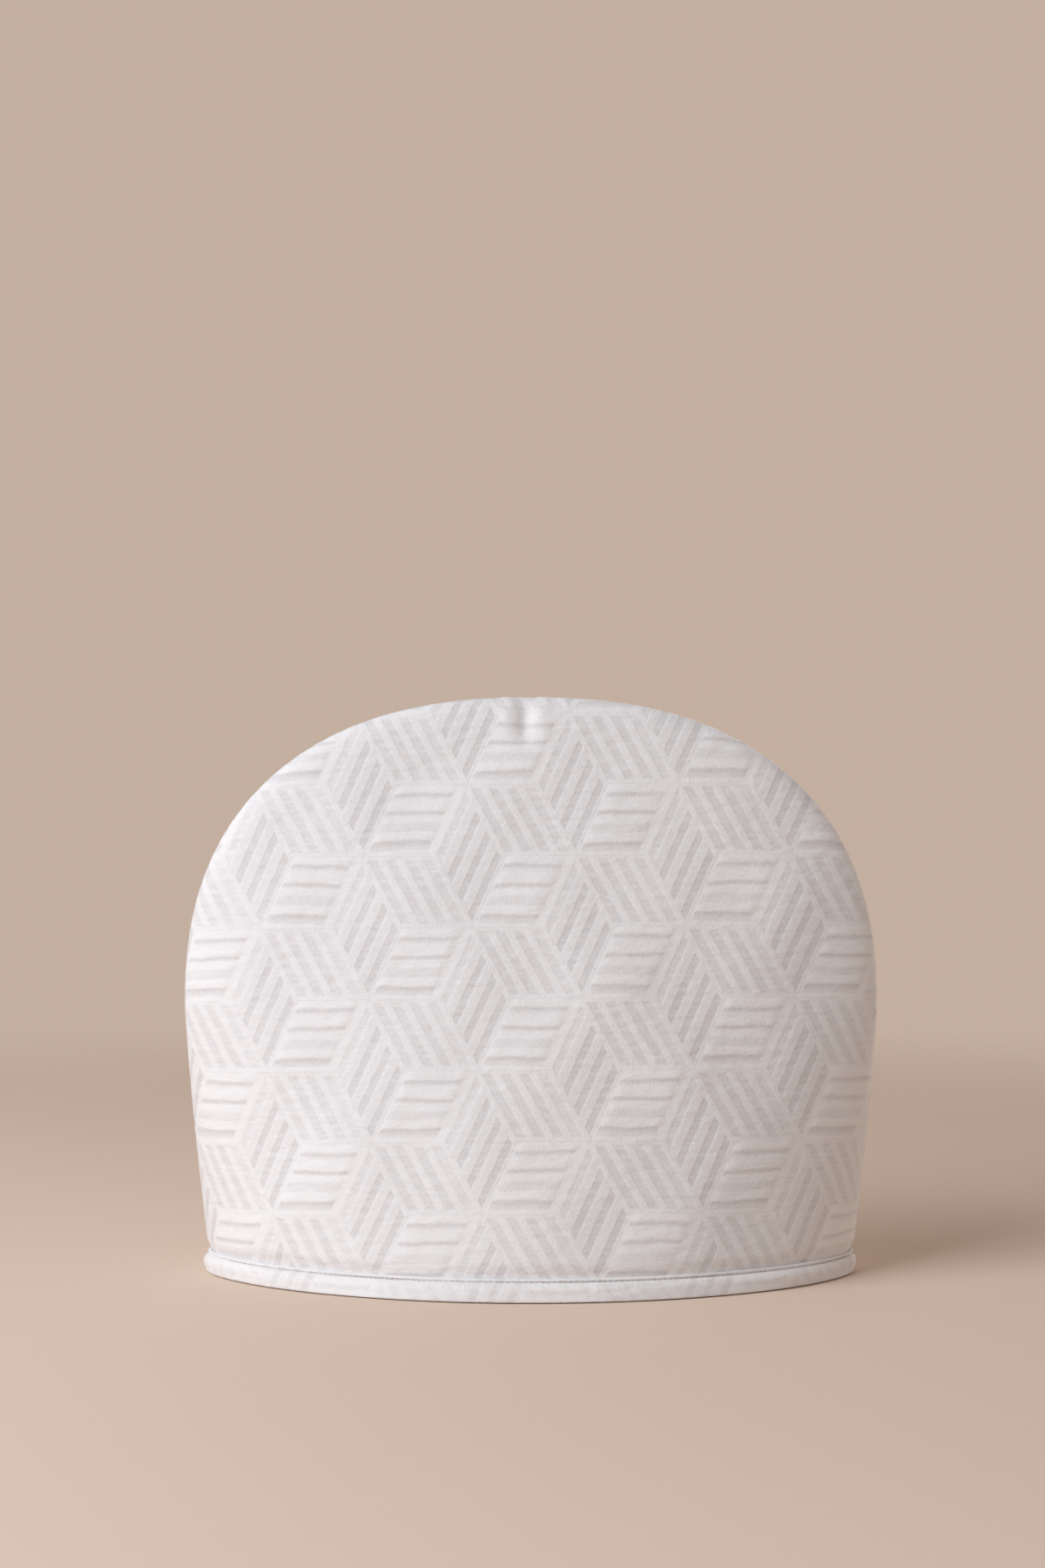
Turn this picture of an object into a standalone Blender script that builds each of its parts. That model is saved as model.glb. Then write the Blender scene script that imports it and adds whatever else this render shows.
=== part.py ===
"""Padded tea cosy: two wadded arch panels sewn together along the arch, with a bound hem.

Metres, +Z up. The origin is at the middle of the flat underside of the hem. The front panel faces -Y
and the back panel +Y; the seam between them lies in the plane Y = 0.
"""
import math

import bmesh
import bpy

# Arch outline, seen from the front
HALF_WIDTH = 0.1658
WIDEST_HEIGHT = 0.128
HEIGHT = 0.2746
ARCH_POWER = 2.36
HEM_HALF_WIDTH = 0.1529
FLARE_POWER = 1.25

# Depth of one side, from the seam plane to the outer face. Seen from above, each side is a lens.
HEM_HALF_DEPTH = 0.0836
DEPTH_TAPER_POWER = 0.95
LENS_POWER = 0.65
EDGE_RADIUS = 0.0075
EDGE_REACH = 0.008
EDGE_ROUND = 0.015

# Wadded wall
WALL = 0.006
SEAM_PRESS = 0.5
SEAM_PRESS_REACH = 0.014
HEM_PRESS = 0.65
SEAM_GAP = 0.0003

# Groove where the two panels meet
GROOVE_DEPTH = 0.0016
GROOVE_DEPTH_AT_HEM = 0.0010
GROOVE_HALF_WIDTH = 0.0045
GROOVE_RISE = (0.012, 0.045)

# Part of the wall that the binding grips
TUCK_DEPTH = 0.0018
TUCK_FADE = (0.0105, 0.017)
HEM_ROW_HEIGHTS = (0.004, 0.0075, 0.0105, 0.0135, 0.017)

# Small pucker caught in the seam at the top of the front panel
PUCKER_X = -0.0025
PUCKER_DEPTH = 0.0024
PUCKER_HALF_WIDTH = 0.0038
PUCKER_FADE = (0.007, 0.026)
PUCKER_SHOULDER = 0.0007
PUCKER_NOTCH = 0.35
PUCKER_SHOULDER_SHIFT = 0.009
PUCKER_COLUMNS = (-0.009, -0.0045, 0.0, 0.0045, 0.009)

# Soft unevenness of the wadding
UNEVEN_DEPTH = 0.0005
UNEVEN_REACH = 0.045
UNEVEN_WAVES = ((0.190, 0.4, 0.120, 1.1), (0.085, 2.0, 0.210, 0.3), (0.062, 4.1, 0.077, 2.6))

# Bound hem: (distance out of the gripped wall, height) of each corner of the strip's section
BINDING_SECTION = (
    (0.0003, 0.0100),
    (0.0012, 0.0104),
    (0.0018, 0.0096),
    (0.0017, 0.0084),
    (0.0029, 0.0070),
    (0.0034, 0.0048),
    (0.0028, 0.0018),
    (0.0010, 0.0000),
    (-0.0047, 0.0000),
    (-0.0062, 0.0014),
    (-0.0066, 0.0046),
    (-0.0062, 0.0086),
    (-0.0055, 0.0092),
    (-0.0047, 0.0088),
    (-0.0047, 0.0022),
    (0.0003, 0.0022),
)
PUFF_CORNERS = (4, 5)
PUFF_UNEVEN = 0.0003
PUFF_WAVES = ((7, 0.6), (11, 2.3))

# Mesh density
PANEL_COLUMNS = 36
PANEL_ROWS = 19
BINDING_STEPS = 72

CLOTH_COLOUR = (0.86, 0.85, 0.85, 1.0)
BINDING_COLOUR = (0.90, 0.89, 0.89, 1.0)
CLOTH_ROUGHNESS = 0.75

ARCH_RISE = HEIGHT - WIDEST_HEIGHT


def smooth(value, start, end):
    """0 below start, 1 above end, and an even curve between them."""
    share = min(1.0, max(0.0, (value - start) / (end - start)))
    return share * share * (3.0 - 2.0 * share)


def bell(distance, width):
    """1 at no distance, fading to 0 a few widths away."""
    return math.exp(-(distance / width) ** 2)


def side_half_width(z):
    """Half-width of the lower part, from the hem to the widest place."""
    below = max(0.0, 1.0 - z / WIDEST_HEIGHT)
    return HALF_WIDTH - (HALF_WIDTH - HEM_HALF_WIDTH) * below ** FLARE_POWER


def arch_height(share):
    """Height of the arch above the point that lies share of the half-width from the middle."""
    return WIDEST_HEIGHT + ARCH_RISE * max(0.0, 1.0 - abs(share) ** ARCH_POWER) ** (1.0 / ARCH_POWER)


def outline_half_width(z):
    """Half-width of the whole outline at a height."""
    if z <= WIDEST_HEIGHT:
        return side_half_width(z)
    rise = min(1.0, (z - WIDEST_HEIGHT) / ARCH_RISE)
    return HALF_WIDTH * (1.0 - rise ** ARCH_POWER) ** (1.0 / ARCH_POWER)


def edge_distance(x, z):
    """Distance, in the seam plane, from a point to the outline."""
    if z <= WIDEST_HEIGHT:
        return max(0.0, side_half_width(z) - abs(x))
    rise = z - WIDEST_HEIGHT
    gauge = ((abs(x) / HALF_WIDTH) ** ARCH_POWER + (rise / ARCH_RISE) ** ARCH_POWER) ** (1.0 / ARCH_POWER)
    return max(0.0, math.hypot(x, rise) * (1.0 / gauge - 1.0))


def edge_direction(x, z):
    """Direction out of the outline, in the seam plane."""
    if z <= WIDEST_HEIGHT:
        return math.copysign(1.0, x), 0.0
    along = math.copysign((abs(x) / HALF_WIDTH) ** (ARCH_POWER - 1.0) / HALF_WIDTH, x)
    up = ((z - WIDEST_HEIGHT) / ARCH_RISE) ** (ARCH_POWER - 1.0) / ARCH_RISE
    length = math.hypot(along, up)
    return along / length, up / length


def lens_depth(z):
    """Half-depth of the middle of one side, without the rounding of its edge."""
    return HEM_HALF_DEPTH * max(0.0, 1.0 - z / HEIGHT) ** DEPTH_TAPER_POWER


def half_depth(x, z):
    """Distance from the seam plane to the outer face."""
    half_width = max(outline_half_width(z), 1e-9)
    across = max(0.0, 1.0 - (x / half_width) ** 2)
    lens = lens_depth(z) * across ** LENS_POWER
    distance = edge_distance(x, z)
    edge = 2.0 * EDGE_RADIUS * distance / (1.0 + distance / EDGE_REACH)
    return math.sqrt(lens ** 2 + edge)


def outward(x, y, z):
    """Horizontal direction out of the lower wall."""
    half_width = side_half_width(z)
    across = max(0.0, 1.0 - (x / half_width) ** 2)
    turn = 2.0 * LENS_POWER * lens_depth(z) ** 2 * across ** (2.0 * LENS_POWER - 1.0)
    rounding = EDGE_RADIUS / (1.0 + (half_width - abs(x)) / EDGE_REACH) ** 2
    along = turn * x / half_width ** 2 + math.copysign(rounding, x)
    length = math.hypot(along, y)
    return along / length, y / length


def unevenness(x, z):
    """Soft lumps of the wadding, fading out towards the seam and the hem."""
    reach = min(edge_distance(x, z), z)
    total = 0.0
    for length_x, phase_x, length_z, phase_z in UNEVEN_WAVES:
        wave_x = math.sin(2.0 * math.pi * x / length_x + phase_x)
        wave_z = math.sin(2.0 * math.pi * z / length_z + phase_z)
        total += wave_x * wave_z
    return UNEVEN_DEPTH * total * smooth(reach, 0.0, UNEVEN_REACH)


def pucker(x, z):
    """Depth of the small trough under the top of the arch, less its soft shoulders."""
    fade = 1.0 - smooth(HEIGHT - z, *PUCKER_FADE)
    offset = x - PUCKER_X
    trough = PUCKER_DEPTH * bell(offset, PUCKER_HALF_WIDTH)
    left = bell(offset + PUCKER_SHOULDER_SHIFT, PUCKER_HALF_WIDTH)
    right = bell(offset - PUCKER_SHOULDER_SHIFT, PUCKER_HALF_WIDTH)
    return fade * (trough - PUCKER_SHOULDER * (left + right))


def row_height(share, row):
    """Height of a row: level rows where the binding grips, then rows that close up towards the arch."""
    if row < len(HEM_ROW_HEIGHTS):
        return HEM_ROW_HEIGHTS[row]
    start = HEM_ROW_HEIGHTS[-1]
    step = row - len(HEM_ROW_HEIGHTS) + 1
    return start + (arch_height(share) - start) * math.sin(0.5 * math.pi * step / PANEL_ROWS)


def panel_point(share, row, front):
    """Point of a panel's outer face: share runs across it from -1 to 1."""
    z = row_height(share, row)
    if z < WIDEST_HEIGHT:
        x = share * side_half_width(z)
    else:
        x = share * HALF_WIDTH
    depth = half_depth(x, z)
    sign = -1.0 if front else 1.0

    grip = TUCK_DEPTH * (1.0 - smooth(z, *TUCK_FADE))
    out_x, out_y = outward(x, sign * depth, min(z, WIDEST_HEIGHT))
    groove = GROOVE_DEPTH_AT_HEM + (GROOVE_DEPTH - GROOVE_DEPTH_AT_HEM) * smooth(z, *GROOVE_RISE)
    inset = groove * max(0.0, 1.0 - depth / GROOVE_HALF_WIDTH) ** 2
    edge_x, edge_z = edge_direction(x, z)

    relief = unevenness(x, z)
    sink = 0.0
    if front:
        sink = pucker(x, z)
    flat = smooth(depth, 0.0, EDGE_ROUND)
    y = sign * (depth + (relief - sink) * flat)
    new_x = x - grip * out_x - inset * edge_x
    new_y = y - grip * out_y
    new_z = z - inset * edge_z - PUCKER_NOTCH * sink * (1.0 - flat)
    if front:
        new_y = min(new_y, -0.5 * SEAM_GAP)
    else:
        new_y = max(new_y, 0.5 * SEAM_GAP)
    return new_x, new_y, new_z


def column_shares():
    """Shares across a panel, closer towards its sides and around the pucker."""
    shares = []
    for step in range(PANEL_COLUMNS + 1):
        shares.append(math.sin(math.pi * (step / PANEL_COLUMNS - 0.5)))
    shares.pop(PANEL_COLUMNS // 2)
    for offset in PUCKER_COLUMNS:
        shares.append((PUCKER_X + offset) / HALF_WIDTH)
    return sorted(shares)


def wadding_share(x, z):
    """Share of the full wall thickness: pressed flat at the seam and in the binding."""
    seam = SEAM_PRESS + (1.0 - SEAM_PRESS) * smooth(edge_distance(x, z), 0.0, SEAM_PRESS_REACH)
    hem = HEM_PRESS + (1.0 - HEM_PRESS) * smooth(z, *TUCK_FADE)
    return min(seam, hem)


def new_object(name, mesh, collection, material):
    """Put a mesh into the scene as one named part."""
    obj = bpy.data.objects.new(name, mesh)
    collection.objects.link(obj)
    mesh.materials.append(material)
    mesh.shade_smooth()
    return obj


def cloth_material(name, colour):
    """Plain matt cotton."""
    material = bpy.data.materials.new(name)
    material.use_nodes = True
    shader = material.node_tree.nodes["Principled BSDF"]
    shader.inputs["Base Color"].default_value = colour
    shader.inputs["Roughness"].default_value = CLOTH_ROUGHNESS
    shader.inputs["Metallic"].default_value = 0.0
    return material


def make_panel(name, front, collection, material):
    """One wadded panel: a grid laid on the outer face, thickened inwards."""
    columns = column_shares()
    last_column = len(columns) - 1
    last_row = len(HEM_ROW_HEIGHTS) + PANEL_ROWS - 1
    shape = bmesh.new()
    bmesh.ops.create_grid(shape, x_segments=last_column, y_segments=last_row, size=1.0)
    thickness = []
    for vertex in shape.verts:
        column = round(0.5 * (vertex.co.x + 1.0) * last_column)
        row = round(0.5 * (vertex.co.y + 1.0) * last_row)
        share = columns[column] if front else -columns[column]
        vertex.co = panel_point(share, row, front)
        thickness.append(wadding_share(vertex.co.x, vertex.co.z))
    mesh = bpy.data.meshes.new(name)
    shape.to_mesh(mesh)
    shape.free()
    panel = new_object(name, mesh, collection, material)

    wadding = panel.vertex_groups.new(name="wadding")
    for index, weight in enumerate(thickness):
        wadding.add([index], weight, "REPLACE")
    solidify = panel.modifiers.new("wadded wall", "SOLIDIFY")
    solidify.thickness = WALL
    solidify.offset = -1.0
    solidify.vertex_group = wadding.name
    return panel


def binding_section(angle):
    """Section of the bound hem at one angle around the cosy, as world points."""
    share = math.cos(angle)
    sign = math.copysign(1.0, math.sin(angle))
    puff = 0.0
    for count, phase in PUFF_WAVES:
        puff += PUFF_UNEVEN * math.sin(count * angle + phase)
    points = []
    for corner, (out, z) in enumerate(BINDING_SECTION):
        x = share * side_half_width(z)
        y = sign * half_depth(x, z)
        out_x, out_y = outward(x, y, z)
        reach = out - TUCK_DEPTH
        if corner in PUFF_CORNERS:
            reach += puff
        points.append((x + reach * out_x, y + reach * out_y, z))
    return points


def make_binding(name, collection, material):
    """The folded strip round the hem, lofted through its sections as a closed ring."""
    shape = bmesh.new()
    rings = []
    for step in range(BINDING_STEPS):
        angle = 2.0 * math.pi * step / BINDING_STEPS
        ring = []
        for point in binding_section(angle):
            ring.append(shape.verts.new(point))
        rings.append(ring)
    corners = len(BINDING_SECTION)
    for step in range(BINDING_STEPS):
        here = rings[step]
        ahead = rings[(step + 1) % BINDING_STEPS]
        for corner in range(corners):
            after = (corner + 1) % corners
            shape.faces.new((here[corner], here[after], ahead[after], ahead[corner]))
    bmesh.ops.recalc_face_normals(shape, faces=shape.faces)
    mesh = bpy.data.meshes.new(name)
    shape.to_mesh(mesh)
    shape.free()
    return new_object(name, mesh, collection, material)


def main():
    for obj in list(bpy.data.objects):
        bpy.data.objects.remove(obj, do_unlink=True)
    collection = bpy.data.collections.new("tea_cosy")
    bpy.context.scene.collection.children.link(collection)
    cloth = cloth_material("jacquard", CLOTH_COLOUR)
    strip = cloth_material("binding_cloth", BINDING_COLOUR)
    make_panel("front_panel", True, collection, cloth)
    make_panel("back_panel", False, collection, cloth)
    make_binding("hem_binding", collection, strip)


main()
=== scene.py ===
# %% [markdown]
# # A padded tea cosy in white jacquard
#
# A tea cosy is a warm hood for a teapot. A maker cuts two arch-shaped panels of cloth with wadding
# behind them, sews them together along the arch, turns the work right side out and binds the open
# hem with a folded strip that is stitched down close to its upper edge.
#
# This lesson dresses a plain model of that cosy. The plain model comes first, as a fixed frame: it
# says where each piece is, and nothing here may leave its place.

# %% Load the frame
import math

import bpy
import numpy as np
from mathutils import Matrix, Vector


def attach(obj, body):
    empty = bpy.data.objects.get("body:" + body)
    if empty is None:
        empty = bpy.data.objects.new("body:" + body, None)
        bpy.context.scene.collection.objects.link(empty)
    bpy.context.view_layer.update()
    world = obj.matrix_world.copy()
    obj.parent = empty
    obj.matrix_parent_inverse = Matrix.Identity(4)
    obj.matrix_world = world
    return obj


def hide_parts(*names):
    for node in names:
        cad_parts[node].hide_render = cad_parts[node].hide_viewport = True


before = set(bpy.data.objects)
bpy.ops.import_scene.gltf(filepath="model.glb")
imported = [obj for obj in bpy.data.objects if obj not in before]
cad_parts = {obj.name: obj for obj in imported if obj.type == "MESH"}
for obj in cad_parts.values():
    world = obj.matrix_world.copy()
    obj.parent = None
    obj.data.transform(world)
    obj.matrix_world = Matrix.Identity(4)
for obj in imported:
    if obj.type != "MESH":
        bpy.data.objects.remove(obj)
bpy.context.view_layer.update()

print("nodes:", sorted(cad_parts))

# %% [markdown]
# ## Camera, light and floor
#
# The cosy is looked at straight on and level, from a little below the height of its top. The near side
# of the hem then shows as a shallow curve and hides the far side. A long lens at more than a metre
# keeps the sides straight.

# %% Camera
CAMERA_PLACE = (-0.004, -1.300, 0.2325)
LENS_MM = 62.4
SENSOR_MM = 36.0

lens = bpy.data.cameras.new("camera")
lens.lens = LENS_MM
lens.sensor_width = SENSOR_MM
camera = bpy.data.objects.new("camera", lens)
camera.location = CAMERA_PLACE
camera.rotation_euler = (math.radians(90.0), 0.0, 0.0)
bpy.context.scene.collection.objects.link(camera)
bpy.context.scene.camera = camera
bpy.context.scene.view_settings.view_transform = "Standard"
print("camera", CAMERA_PLACE, "lens", LENS_MM, "mm")

# %% [markdown]
# White cloth shows its weave only where light rakes over it. One broad lamp at the upper left does
# that: it leaves the left side nearly white and lets the right side fall into a soft grey. The world is
# a dim warm fill, like the light that a pale room throws back. Low down at the rear, and most of all at
# the right, it glows more, like a sunlit wall. That lifts both rims out of the shade.

# %% Lamps and fill
FILL_COLOUR = (0.50, 0.43, 0.39)
FILL_STRENGTH = 0.575
KEY_PLACE = (-1.42, -1.06, 1.20)
KEY_TARGET = (0.0, 0.0, 0.12)
KEY_SIZE = 1.6
KEY_WATTS = 38.9
KEY_COLOUR = (0.945, 1.0, 1.075)
WALL_TOWARDS = (0.35, 0.94, 0.0)
WALL_GLOW = 3.00
WALL_REACH = (0.0, 0.8)
WALL_HEIGHT = (0.15, 0.60)


def soft_lamp(name, place, target, size, watts, colour):
    """A square lamp at a place, turned to a target."""
    lamp = bpy.data.lights.new(name, "AREA")
    lamp.shape = "SQUARE"
    lamp.size = size
    lamp.energy = watts
    lamp.color = colour
    holder = bpy.data.objects.new(name, lamp)
    holder.location = place
    direction = Vector(target) - Vector(place)
    holder.rotation_euler = direction.to_track_quat("-Z", "Y").to_euler()
    bpy.context.scene.collection.objects.link(holder)
    return holder


def soft_step(tree, socket, reach, start, end):
    """Nodes that go from start to end in an even curve while a socket crosses a reach."""
    node = tree.nodes.new("ShaderNodeMapRange")
    node.interpolation_type = "SMOOTHSTEP"
    node.inputs["From Min"].default_value = reach[0]
    node.inputs["From Max"].default_value = reach[1]
    node.inputs["To Min"].default_value = start
    node.inputs["To Max"].default_value = end
    tree.links.new(socket, node.inputs["Value"])
    return node.outputs["Result"]


def fill_light():
    """Even warm light from all round, with more of it from the wall at the rear."""
    room = bpy.data.worlds.new("room")
    room.use_nodes = True
    tree = room.node_tree
    place = tree.nodes.new("ShaderNodeTexCoord")
    split = tree.nodes.new("ShaderNodeSeparateXYZ")
    tree.links.new(place.outputs["Generated"], split.inputs["Vector"])
    height = tree.nodes.new("ShaderNodeMath")
    height.operation = "ABSOLUTE"
    tree.links.new(split.outputs["Z"], height.inputs[0])
    along = tree.nodes.new("ShaderNodeVectorMath")
    along.operation = "DOT_PRODUCT"
    along.inputs[1].default_value = WALL_TOWARDS
    tree.links.new(place.outputs["Generated"], along.inputs[0])
    total = tree.nodes.new("ShaderNodeMath")
    total.operation = "MULTIPLY_ADD"
    total.inputs[2].default_value = FILL_STRENGTH
    tree.links.new(soft_step(tree, along.outputs["Value"], WALL_REACH, 0.0, WALL_GLOW), total.inputs[0])
    tree.links.new(soft_step(tree, height.outputs[0], WALL_HEIGHT, 1.0, 0.0), total.inputs[1])
    background = tree.nodes["Background"]
    background.inputs["Color"].default_value = (*FILL_COLOUR, 1.0)
    tree.links.new(total.outputs[0], background.inputs["Strength"])
    return room


bpy.context.scene.world = fill_light()
soft_lamp("key_lamp", KEY_PLACE, KEY_TARGET, KEY_SIZE, KEY_WATTS, KEY_COLOUR)
print("key lamp", KEY_WATTS, "W")

# %% [markdown]
# The floor is a pale disc that fades out at its rim, and a far dome in a like colour stands behind
# it, so there is no hard horizon from any side. The dome is seen by the camera only. It lights nothing.

# %% Floor and dome
FLOOR_RADIUS = 1.5
FLOOR_FADE = (0.55, 1.4)
FLOOR_COLOUR = (0.76, 0.61, 0.50)
FLOOR_ROUGHNESS = 0.9
FLOOR_SPECULAR = 0.2
DOME_COLOUR = (0.55, 0.43, 0.35)
DOME_RADIUS = 6.0


def stage_piece(piece, name, material):
    """Make an object a piece of the studio. It isn't part of the cosy."""
    piece.name = name
    piece.data.materials.append(material)
    piece.data.shade_smooth()
    return piece


def floor_material():
    """Pale matt floor that turns clear towards its rim."""
    material = bpy.data.materials.new("pale_floor")
    material.use_nodes = True
    tree = material.node_tree
    shader = tree.nodes["Principled BSDF"]
    shader.inputs["Base Color"].default_value = (*FLOOR_COLOUR, 1.0)
    shader.inputs["Roughness"].default_value = FLOOR_ROUGHNESS
    shader.inputs["Specular IOR Level"].default_value = FLOOR_SPECULAR
    place = tree.nodes.new("ShaderNodeTexCoord")
    reach = tree.nodes.new("ShaderNodeVectorMath")
    reach.operation = "LENGTH"
    tree.links.new(place.outputs["Object"], reach.inputs[0])
    clear = soft_step(tree, reach.outputs["Value"], FLOOR_FADE, 1.0, 0.0)
    tree.links.new(clear, shader.inputs["Alpha"])
    return material


def dome_material():
    """Plain glowing backdrop."""
    material = bpy.data.materials.new("backdrop")
    material.use_nodes = True
    nodes = material.node_tree.nodes
    nodes.remove(nodes["Principled BSDF"])
    glow = nodes.new("ShaderNodeEmission")
    glow.inputs["Color"].default_value = (*DOME_COLOUR, 1.0)
    material.node_tree.links.new(glow.outputs[0], nodes["Material Output"].inputs["Surface"])
    return material


bpy.ops.mesh.primitive_circle_add(vertices=64, radius=FLOOR_RADIUS, fill_type="NGON")
floor = stage_piece(bpy.context.object, "floor", floor_material())
bpy.ops.mesh.primitive_uv_sphere_add(segments=48, ring_count=24, radius=DOME_RADIUS)
dome = stage_piece(bpy.context.object, "dome", dome_material())
dome.visible_diffuse = False
dome.visible_glossy = False
dome.visible_transmission = False
dome.visible_shadow = False
print("floor radius", FLOOR_RADIUS, "m, dome radius", DOME_RADIUS, "m")

# %% [markdown]
# ## The body's shape
#
# Seen from the front, the cosy is an arch on sides that spread a little from the hem up. Seen from
# above, each level is a lens that thins towards the top, so the two panels lean against each other like
# a tent. A few formulas give the whole form, and they repeat the ones that made the plain model. Here
# they work on whole arrays of points at once, because the dressed panels have many more of them.

# %% Driving sizes, in metres
HALF_WIDTH = 0.1658
WIDEST_HEIGHT = 0.128
HEIGHT = 0.2746
ARCH_POWER = 2.36
HEM_HALF_WIDTH = 0.1529
FLARE_POWER = 1.25
HEM_HALF_DEPTH = 0.0836
DEPTH_TAPER_POWER = 0.95
LENS_POWER = 0.65
EDGE_RADIUS = 0.0075
EDGE_REACH = 0.008
EDGE_ROUND = 0.015
ARCH_RISE = HEIGHT - WIDEST_HEIGHT
PANEL_BOTTOM = 0.004
MM = 0.001


def smooth(value, start, end):
    """0 below start, 1 above end, and an even curve between them."""
    share = np.clip((value - start) / (end - start), 0.0, 1.0)
    return share * share * (3.0 - 2.0 * share)


def bell(distance, width):
    """1 at no distance, fading to 0 a few widths away."""
    return np.exp(-(distance / width) ** 2)


def side_half_width(z):
    """Half-width of the lower part, from the hem to the widest place."""
    below = np.maximum(0.0, 1.0 - z / WIDEST_HEIGHT)
    return HALF_WIDTH - (HALF_WIDTH - HEM_HALF_WIDTH) * below ** FLARE_POWER


def outline_half_width(z):
    """Half-width of the whole outline at a height."""
    rise = np.clip((z - WIDEST_HEIGHT) / ARCH_RISE, 0.0, 1.0)
    arch = HALF_WIDTH * (1.0 - rise ** ARCH_POWER) ** (1.0 / ARCH_POWER)
    return np.where(z <= WIDEST_HEIGHT, side_half_width(z), arch)


def gauge(x_share, z_share):
    """Size of the arch, as a share of the full one, on which a point lies."""
    return (np.abs(x_share) ** ARCH_POWER + np.abs(z_share) ** ARCH_POWER) ** (1.0 / ARCH_POWER)


def edge_distance(x, z):
    """Distance, in the seam plane, from a point to the outline."""
    rise = np.maximum(z - WIDEST_HEIGHT, 1e-9)
    size = np.maximum(gauge(x / HALF_WIDTH, rise / ARCH_RISE), 1e-9)
    above = np.hypot(x, rise) * (1.0 / size - 1.0)
    return np.maximum(0.0, np.where(z <= WIDEST_HEIGHT, side_half_width(z) - np.abs(x), above))


def edge_direction(x, z):
    """Direction out of the outline, in the seam plane."""
    rise = np.maximum(z - WIDEST_HEIGHT, 0.0) / ARCH_RISE
    along = np.sign(x) * (np.abs(x) / HALF_WIDTH) ** (ARCH_POWER - 1.0) / HALF_WIDTH
    up = rise ** (ARCH_POWER - 1.0) / ARCH_RISE
    length = np.maximum(np.hypot(along, up), 1e-9)
    return along / length, up / length


def lens_depth(z):
    """Half-depth of the middle of one side, without the rounding of its edge."""
    return HEM_HALF_DEPTH * np.maximum(0.0, 1.0 - z / HEIGHT) ** DEPTH_TAPER_POWER


def half_depth(x, z):
    """Distance from the seam plane to the outer face."""
    across = np.maximum(0.0, 1.0 - (x / np.maximum(outline_half_width(z), 1e-9)) ** 2)
    lens = lens_depth(z) * across ** LENS_POWER
    distance = edge_distance(x, z)
    edge = 2.0 * EDGE_RADIUS * distance / (1.0 + distance / EDGE_REACH)
    return np.sqrt(lens ** 2 + edge)


def outward(x, y, z):
    """Horizontal direction out of the lower wall."""
    half_width = side_half_width(z)
    across = np.maximum(0.0, 1.0 - (x / half_width) ** 2)
    turn = 2.0 * LENS_POWER * lens_depth(z) ** 2 * across ** (2.0 * LENS_POWER - 1.0)
    rounding = EDGE_RADIUS / (1.0 + (half_width - np.abs(x)) / EDGE_REACH) ** 2
    along = turn * x / half_width ** 2 + np.copysign(rounding, x)
    length = np.hypot(along, y)
    return along / length, y / length


print("depth at the hem", round(2.0 * float(half_depth(0.0, 0.0)), 4), "m")

# %% [markdown]
# The form isn't perfectly even. The wadding is a little lumpy, the seam lies in a shallow groove, the
# binding squeezes the wall at the hem, and the seam has caught one small pucker at the top of the
# front panel, just left of the middle. These are soft troughs, added to the even form.

# %% Soft troughs of the body
SEAM_GAP = 0.0003
GROOVE_DEPTH = 0.0016
GROOVE_DEPTH_AT_HEM = 0.0010
GROOVE_HALF_WIDTH = 0.0045
GROOVE_RISE = (0.012, 0.045)
TUCK_DEPTH = 0.0018
TUCK_FADE = (0.0105, 0.017)
PUCKER_X = -0.0025
PUCKER_DEPTH = 0.0028
PUCKER_HALF_WIDTH = 0.0038
PUCKER_FADE = (0.009, 0.030)
PUCKER_SHOULDER = 0.0007
PUCKER_NOTCH = 0.35
PUCKER_SHOULDER_SHIFT = 0.009
UNEVEN_DEPTH = 0.0005
UNEVEN_REACH = 0.045
UNEVEN_WAVES = ((0.190, 0.4, 0.120, 1.1), (0.085, 2.0, 0.210, 0.3), (0.062, 4.1, 0.077, 2.6))


def unevenness(x, z):
    """Soft lumps of the wadding, fading out towards the seam and the hem."""
    total = 0.0
    for length_x, phase_x, length_z, phase_z in UNEVEN_WAVES:
        wave_x = np.sin(2.0 * np.pi * x / length_x + phase_x)
        wave_z = np.sin(2.0 * np.pi * z / length_z + phase_z)
        total = total + wave_x * wave_z
    return UNEVEN_DEPTH * total * smooth(np.minimum(edge_distance(x, z), z), 0.0, UNEVEN_REACH)


def pucker(x, z):
    """Depth of the small trough under the top of the arch, less its soft shoulders."""
    fade = 1.0 - smooth(HEIGHT - z, *PUCKER_FADE)
    offset = x - PUCKER_X
    trough = PUCKER_DEPTH * bell(offset, PUCKER_HALF_WIDTH)
    left = bell(offset + PUCKER_SHOULDER_SHIFT, PUCKER_HALF_WIDTH)
    right = bell(offset - PUCKER_SHOULDER_SHIFT, PUCKER_HALF_WIDTH)
    return fade * (trough - PUCKER_SHOULDER * (left + right))


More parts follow.
